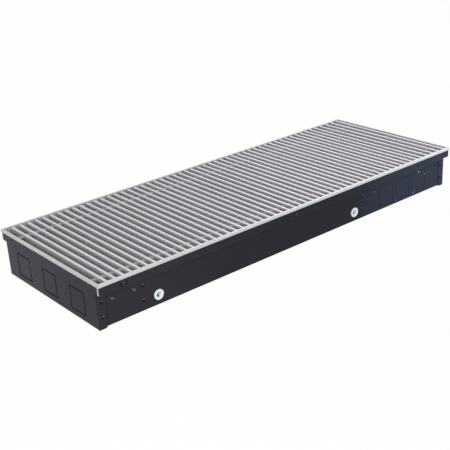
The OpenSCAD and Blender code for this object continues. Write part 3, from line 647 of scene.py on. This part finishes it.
def connector(name, y):
    """Connector with its tube socket to the left and its female thread to the right."""
    length = PORT_X - SOCKET_X
    port_floor = length - PORT_DEPTH
    hexagon_at = length - HEXAGON_L
    socket = TUBE_R + 0.0001
    inside = [(socket, 0), (socket, SOCKET_DEPTH), (WAY_R, SOCKET_DEPTH),
              (WAY_R, port_floor), (PORT_R, port_floor)]
    female = thread(PORT_R, -PORT_THREAD, PORT_PITCH, port_floor + 0.001, length - 0.0014)
    mouth = [(PORT_R + 0.0012, length - 0.0012), (PORT_R + 0.0022, length)]
    outside = chamfered(HEXAGON_FLATS, length, HEXAGON_FALL, HEXAGON_RISES)
    outside += chamfered(HEXAGON_FLATS, hexagon_at, -HEXAGON_FALL, HEXAGON_RISES[::-1])
    neck = [(SOCKET_R, hexagon_at), (SOCKET_R, 0.0006), (SOCKET_R - 0.0006, 0)]
    mesh = bmesh.new()
    turned(mesh, inside + female + mouth + outside + neck, (SOCKET_X, y, TUBE_Z), RIGHT, 48)
    piece("threaded_" + name, mesh, brass, "heater", [name])


brass = turned_brass()
dress(brass, "air_vent_body", "air_vent_screw")
dress(zinc, "connection_bracket")
connector("supply_connector", TUBES_Y[0])
connector("return_connector", TUBES_Y[3])
angle_rivets = bmesh.new()
for y in ANGLE_RIVETS_Y:
    rivet(angle_rivets, (ANGLE_RIVETS_X, y, ANGLE_FOOT_TOP), UP, ANGLE_SHEET + SHEET)
piece("blind_rivets_connection_bracket", angle_rivets, zinc, "heater",
      ["connection_bracket_rivets"])

# Side plugs and inserts: white nylon plugs snapped into the long walls, and
# grey steel inserts for the anchoring brackets, pulled tight in the wall with
# their countersunk mouths left bare.
PLUGS_X = (-HALF_L + 0.1375, HALF_L - 0.3184)
PLUG_WEB_Y = (WALL_Y - 0.0008, WALL_Y - 0.0015)
NYLON_TONES = (0.84, 0.88, 0.93, 1), (0.88, 0.92, 0.97, 1)
SHADED_NYLON = (0.30, 0.33, 0.37, 1)
NYLON_LIP_SHADOW = (0.10, 0.12, 0.14, 1)

INSERTS_X = (-HALF_L + 0.0355, -HALF_L + 0.0833, HALF_L - 0.2522, HALF_L - 0.0368)
INSERT_R = 0.0055
INSERT_FLANGE_R = 0.0065
INSERT_FLANGE = 0.0008
INSERT_MOUTH_R = 0.0056
INSERT_DEPTH = 0.014
M6_CORE_R = 0.0025
M6_THREAD, M6_PITCH = 0.0005, 0.001
STEEL_TONES = (0.045, 0.045, 0.050, 1), (0.075, 0.075, 0.083, 1)
INSERT_BLACK = (0.010, 0.010, 0.013, 1)
INSERT_DUST_AND_LIGHT = (0.15, 0.15, 0.17, 1)


def nylon():
    """White nylon with painted shade on the web and a darker painted shadow along the web's left side.
    """
    material, shade = finish("white_nylon")
    point, (x, y, z) = place(shade)
    cloud = grain(point, 0.01)
    # Painted shade on the web at the back of the recess.
    web = abs(y).band(*PLUG_WEB_Y)
    from_middle = x - PLUGS_X[0] - (x > 0.0) * (PLUGS_X[1] - PLUGS_X[0])
    # Painted shadow of the recess's left lip, cast across the web.
    lip_shadow = web * from_middle.band(0.0034, 0.0004)
    colour = layered(cloud.blend(*NYLON_TONES), (web * 0.3, SHADED_NYLON), (lip_shadow, NYLON_LIP_SHADOW))
    return coat(material, shade, colour, 0.34 + cloud * 0.1, grain(point, 0.0008), 0.00003)


def insert_grey():
    """Coated steel with a bare mouth, lighter where the mouth faces up: some dust and painted light.
    """
    material, shade = finish("grey_insert")
    point, _ = place(shade)
    rubbed = grain(point, 0.0018, detail=3.0)
    mouth = hollow_mask(shade, 0.006, 0.84, 0.96)
    # Dust and painted light on the mouth's upward-facing side.
    lighter_facing_up = mouth * facing(shade, UP).band(-0.15, 0.55) * (0.7 + rubbed * 0.4)
    bare = mouth.blend(INSERT_BLACK, rubbed.blend(*STEEL_TONES))
    colour = layered(bare, (lighter_facing_up, INSERT_DUST_AND_LIGHT))
    roughness = 0.38 + rubbed * 0.14
    return coat(material, shade, colour, roughness, rubbed, 0.00003, metallic=mouth * 0.3,
                Specular_IOR_Level=0.13)


def insert(mesh, spot, aim):
    """Threaded insert with its flange on the wall at spot and its barrel pulled tight behind."""
    mouth_floor = INSERT_FLANGE - (INSERT_MOUTH_R - M6_CORE_R)
    end = -INSERT_DEPTH
    bore = thread(M6_CORE_R, -M6_THREAD, M6_PITCH, end + 0.0004, mouth_floor - 0.0002)
    mouth = [(M6_CORE_R + 0.0003, mouth_floor),
             (INSERT_MOUTH_R - 0.0002, INSERT_FLANGE - 0.0003),
             (INSERT_MOUTH_R, INSERT_FLANGE)]
    flange = [(INSERT_FLANGE_R - 0.0003, INSERT_FLANGE),
              (INSERT_FLANGE_R, INSERT_FLANGE - 0.0003),
              (INSERT_FLANGE_R, 0)]
    pulled = [(INSERT_R, 0),
              (INSERT_R, -SHEET),
              (INSERT_R + 0.0009, -SHEET - 0.0003),
              (INSERT_R + 0.001, -SHEET - 0.0012),
              (INSERT_R + 0.0006, -SHEET - 0.0021),
              (INSERT_R, -SHEET - 0.0025)]
    barrel = [(INSERT_R, end + 0.0004), (INSERT_R - 0.0004, end), (M6_CORE_R + 0.0004, end)]
    turned(mesh, bore + mouth + flange + pulled + barrel, spot, aim, 24)


dress(nylon(), "side_plugs")
inserts = bmesh.new()
for side in (-1, 1):
    for x in INSERTS_X:
        insert(inserts, (x, side * WALL_Y, HIGH_ROW), (0, side, 0))
piece("threaded_inserts", inserts, insert_grey(), "heater", ["side_inserts"])

# Levelling screws and nuts: zinc-plated socket set screws in nuts welded to
# the floor of the trough, turned from above to lift the heater.
LEVEL_X = HALF_L - 0.052
LEVEL_Y = HALF_W - 0.0505
FLOOR_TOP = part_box("levelling_nuts")[0][2]
NUT_FLATS = 0.013
NUT_H = 0.0065
NUT_FALL = 0.58
NUT_RISES = (0.0001, 0.0003, 0.0005, 0.0007)
SCREW_R = 0.004
SCREW_L = 0.045
SCREW_THREAD, SCREW_PITCH = 0.00075, 0.00125
SCREW_POINT_R = 0.0024
SCREW_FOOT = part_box("levelling_screw_front_left")[0][2]
SCREW_SOCKET = 0.004
SCREW_SOCKET_H = 0.005


def welded_nut(mesh, x, y):
    """Hexagon nut with its top corners turned off and a bead of weld round its foot."""
    bore = SCREW_R + 0.0001
    corner = NUT_FLATS / math.sqrt(3)
    flat = hexagon(NUT_FLATS, corner)

    def bead(swell):
        waves = (11, 30 * x, 0.25), (17, 0, 0.15)
        return lambda angle: flat(angle) + swell * (
            1 + sum(share * math.sin(count * angle + phase) for count, phase, share in waves))

    inside = [(bore, 0), (bore, NUT_H - 0.0006), (bore + 0.0006, NUT_H)]
    top = chamfered(NUT_FLATS, NUT_H, NUT_FALL, [*NUT_RISES, corner - NUT_FLATS / 2])
    foot = [(bead(0.00005), 0.0013), (bead(0.0006), 0.0009), (bead(0.0011), 0.0003), (bead(0.0012), 0)]
    turned(mesh, inside + top + foot, (x, y, FLOOR_TOP), UP, 48)


def set_screw(mesh, x, y):
    """M8 set screw with a flat point and a hexagon socket, at rest on its foot."""
    root = SCREW_R - SCREW_THREAD
    socket = hexagon(SCREW_SOCKET, SCREW_SOCKET)
    socket_floor = SCREW_L - SCREW_SOCKET_H
    point = [(0, 0), (SCREW_POINT_R, 0), (root, 0.0009)]
    threaded = thread(SCREW_R, SCREW_THREAD, SCREW_PITCH, 0.0011, SCREW_L - 0.0009)
    top = [(root, SCREW_L - 0.0006), (root - 0.0004, SCREW_L), (socket, SCREW_L),
           (socket, socket_floor), (0, socket_floor - 0.0008)]
    turned(mesh, point + threaded + top, (x, y, SCREW_FOOT), UP, 24)


welded_nuts = bmesh.new()
for row, y in (("front", -LEVEL_Y), ("back", LEVEL_Y)):
    for end, x in (("left", -LEVEL_X), ("right", LEVEL_X)):
        corner = row + "_" + end
        welded_nut(welded_nuts, x, y)
        screw = bmesh.new()
        set_screw(screw, x, y)
        piece("set_screw_" + corner, screw, zinc, "leveller_" + corner,
              ["levelling_screw_" + corner])
piece("welded_nuts", welded_nuts, zinc, "heater", ["levelling_nuts"])

# Grille: hollow aluminium bars, sawn to length, strung on two steel rods with
# aluminium sleeves between them and nuts at the ends. It lifts off in one piece.
BAR_PITCH = 0.018
LONG_PITCH = 0.0205
LONG_LINKS_X = 0.415
FIRST_LONG_LINK = 100
BAR_TONES = (0.565, 0.548, 0.575, 1), (0.615, 0.598, 0.625, 1)
BAR_LINES = (0.515, 0.50, 0.525, 1)
BAR_GAP_SHADE = (0.30, 0.295, 0.31, 1)
SHADED_SLEEVE_TONES = (0.25, 0.245, 0.255, 1), (0.33, 0.325, 0.335, 1)


def bar_silver():
    """Anodised bars, each of a slightly different tone, with painted shade on their sides in the gaps.
    """
    material, shade = finish("silver_bar")
    point, (x, y, z) = place(shade)
    even = x < LONG_LINKS_X
    even_number = shade.math("FLOOR", x / BAR_PITCH)
    long_number = shade.math("FLOOR", (x - LONG_LINKS_X) / LONG_PITCH) + FIRST_LONG_LINK
    number = even_number * even + long_number * (1 - even)
    tone = shade.add("ShaderNodeTexWhiteNoise", {"noise_dimensions": "1D"}, {"W": number})
    lines = grain(point, 0.0005, stretch=(1, 400, 1), detail=3.0)
    cloud = grain(point, 0.05, detail=3.0)
    # Painted shade on the bars' sides in the narrow gaps.
    between = hollow_mask(shade, 0.03, 0.35, 0.8) * (0.8 + cloud * 0.2)
    colour = layered((tone * 0.6 + cloud * 0.4).blend(*BAR_TONES),
                     (lines * 0.4, BAR_LINES),
                     (between * 0.5, BAR_GAP_SHADE))
    roughness = 0.42 + lines * 0.12 + tone * 0.04
    return coat(material, shade, colour, roughness, lines, 0.00002, metallic=0.5)


def drawn_sleeve():
    """Round aluminium tube as it was drawn, dull, with fine lines along it, its tones painted dark as
    the shade in the grille's gaps.
    """
    material, shade = finish("drawn_sleeve")
    point, _ = place(shade)
    lines = grain(point, 0.0005, stretch=(60, 1, 1), detail=3.0)
    dull = grain(point, 0.012, detail=3.0)
    colour = (dull * 0.6 + lines * 0.4).blend(*SHADED_SLEEVE_TONES)
    return coat(material, shade, colour, 0.50 + dull * 0.12, lines, 0.00002, metallic=0.4)


dress(bar_silver(), "grille_bars")
dress(zinc, "grille_rods", "grille_rod_nuts")
dress(drawn_sleeve(), "grille_spacers")

# The stand: a plain pale floor that keeps the heater's soft shadow, a white
# studio with five soft lamps, and the camera at the photograph's angle.
FLOOR_HALF = 12
FLOOR_GREY = (0.58, 0.58, 0.58, 1)
FLOOR_GLOW = 0.98
WHITE = (1, 1, 1, 1)
SKY_LIGHT = 0.65
DAYLIGHT_BLUE = (0.62, 0.80, 1.0)
CAMERA_SPOT = (-1.21475, -1.43257, 0.81307)
CAMERA_TURN = (66.6376, 3.0329, -40.2543)  # degrees: tilt, roll and heading
CAMERA_LENS = 72.25
SENSOR_W = 36


def seen_directly(shade):
    """1 for what the camera sees, straight or in gloss or glass, and 0 for light on the object."""
    rays = shade.add("ShaderNodeLightPath").socket.node
    camera_ray, glossy, through = (
        Shade(shade.tree, rays.outputs[name])
        for name in ("Is Camera Ray", "Is Glossy Ray", "Is Transmission Ray"))
    return camera_ray | glossy | through


def studio_white(name, glow_share):
    """Floor finish that the camera sees as nearly plain white but that keeps a soft shadow."""
    material, shade = finish(name)
    matt = shade.add("ShaderNodeBsdfDiffuse", sockets={"Color": FLOOR_GREY})
    glow = shade.add("ShaderNodeEmission", sockets={"Color": WHITE, "Strength": 1.0})
    share = seen_directly(shade) * glow_share
    mixed = shade.add("ShaderNodeMixShader", sockets={0: share, 1: matt, 2: glow})
    mixed.add("ShaderNodeOutputMaterial", sockets={"Surface": mixed})
    return material


def soft_lamp(name, spot, target, size, power, colour=(1, 1, 1)):
    """Soft rectangular lamp at spot, aimed at target."""
    lamp = bpy.data.lights.new(name, "AREA")
    lamp.color = colour
    lamp.shape = "RECTANGLE"
    lamp.size, lamp.size_y = size
    lamp.energy = power
    holder = bpy.data.objects.new(name, lamp)
    holder.location = spot
    holder.rotation_euler = (Vector(target) - Vector(spot)).to_track_quat("-Z", "Y").to_euler()
    bpy.context.scene.collection.objects.link(holder)


floor_mesh = bpy.data.meshes.new("floor")
floor_corners = [(FLOOR_HALF * u, FLOOR_HALF * v, 0) for u, v in ((-1, -1), (1, -1), (1, 1), (-1, 1))]
floor_mesh.from_pydata(floor_corners, [], [(0, 1, 2, 3)])
floor_mesh.materials.append(studio_white("pale_floor", FLOOR_GLOW))
floor = bpy.data.objects.new("floor", floor_mesh)
bpy.context.scene.collection.objects.link(floor)

world = bpy.data.worlds.new("studio")
world.use_nodes = True
world.node_tree.nodes.clear()
sky = Shade(world.node_tree)
sky_strength = seen_directly(sky) * (1 - SKY_LIGHT) + SKY_LIGHT
backdrop = sky.add("ShaderNodeBackground", sockets={"Color": WHITE, "Strength": sky_strength})
backdrop.add("ShaderNodeOutputWorld", sockets={"Surface": backdrop})
bpy.context.scene.world = world

soft_lamp("overhead", (1.3, 0.7, 1.4), (0.45, 0.05, 0), (1.2, 1.0), 10)
soft_lamp("front", (-1.75, -2.15, 1.2), (-0.45, 0, 0), (1.6, 1.0), 18.5)
soft_lamp("near_corner", (-0.95, -1.05, 0.45), (-0.45, -0.17, 0.04), (0.5, 0.4), 2.9)
soft_lamp("left", (-1.9, 0.7, 0.8), (-0.5, 0.1, 0.05), (1.2, 0.8), 8)
soft_lamp("right_end", (1.05, -0.62, 0.30), (0.47, -0.17, 0.05), (0.4, 0.3), 3.6, DAYLIGHT_BLUE)

lens = bpy.data.cameras.new("photo_view")
lens.lens = CAMERA_LENS
lens.sensor_width = SENSOR_W
lens.clip_start = 0.05
camera = bpy.data.objects.new("photo_view", lens)
camera.location = CAMERA_SPOT
camera.rotation_euler = [math.radians(angle) for angle in CAMERA_TURN]
bpy.context.scene.collection.objects.link(camera)
bpy.context.scene.camera = camera
bpy.context.scene.view_settings.view_transform = "Standard"
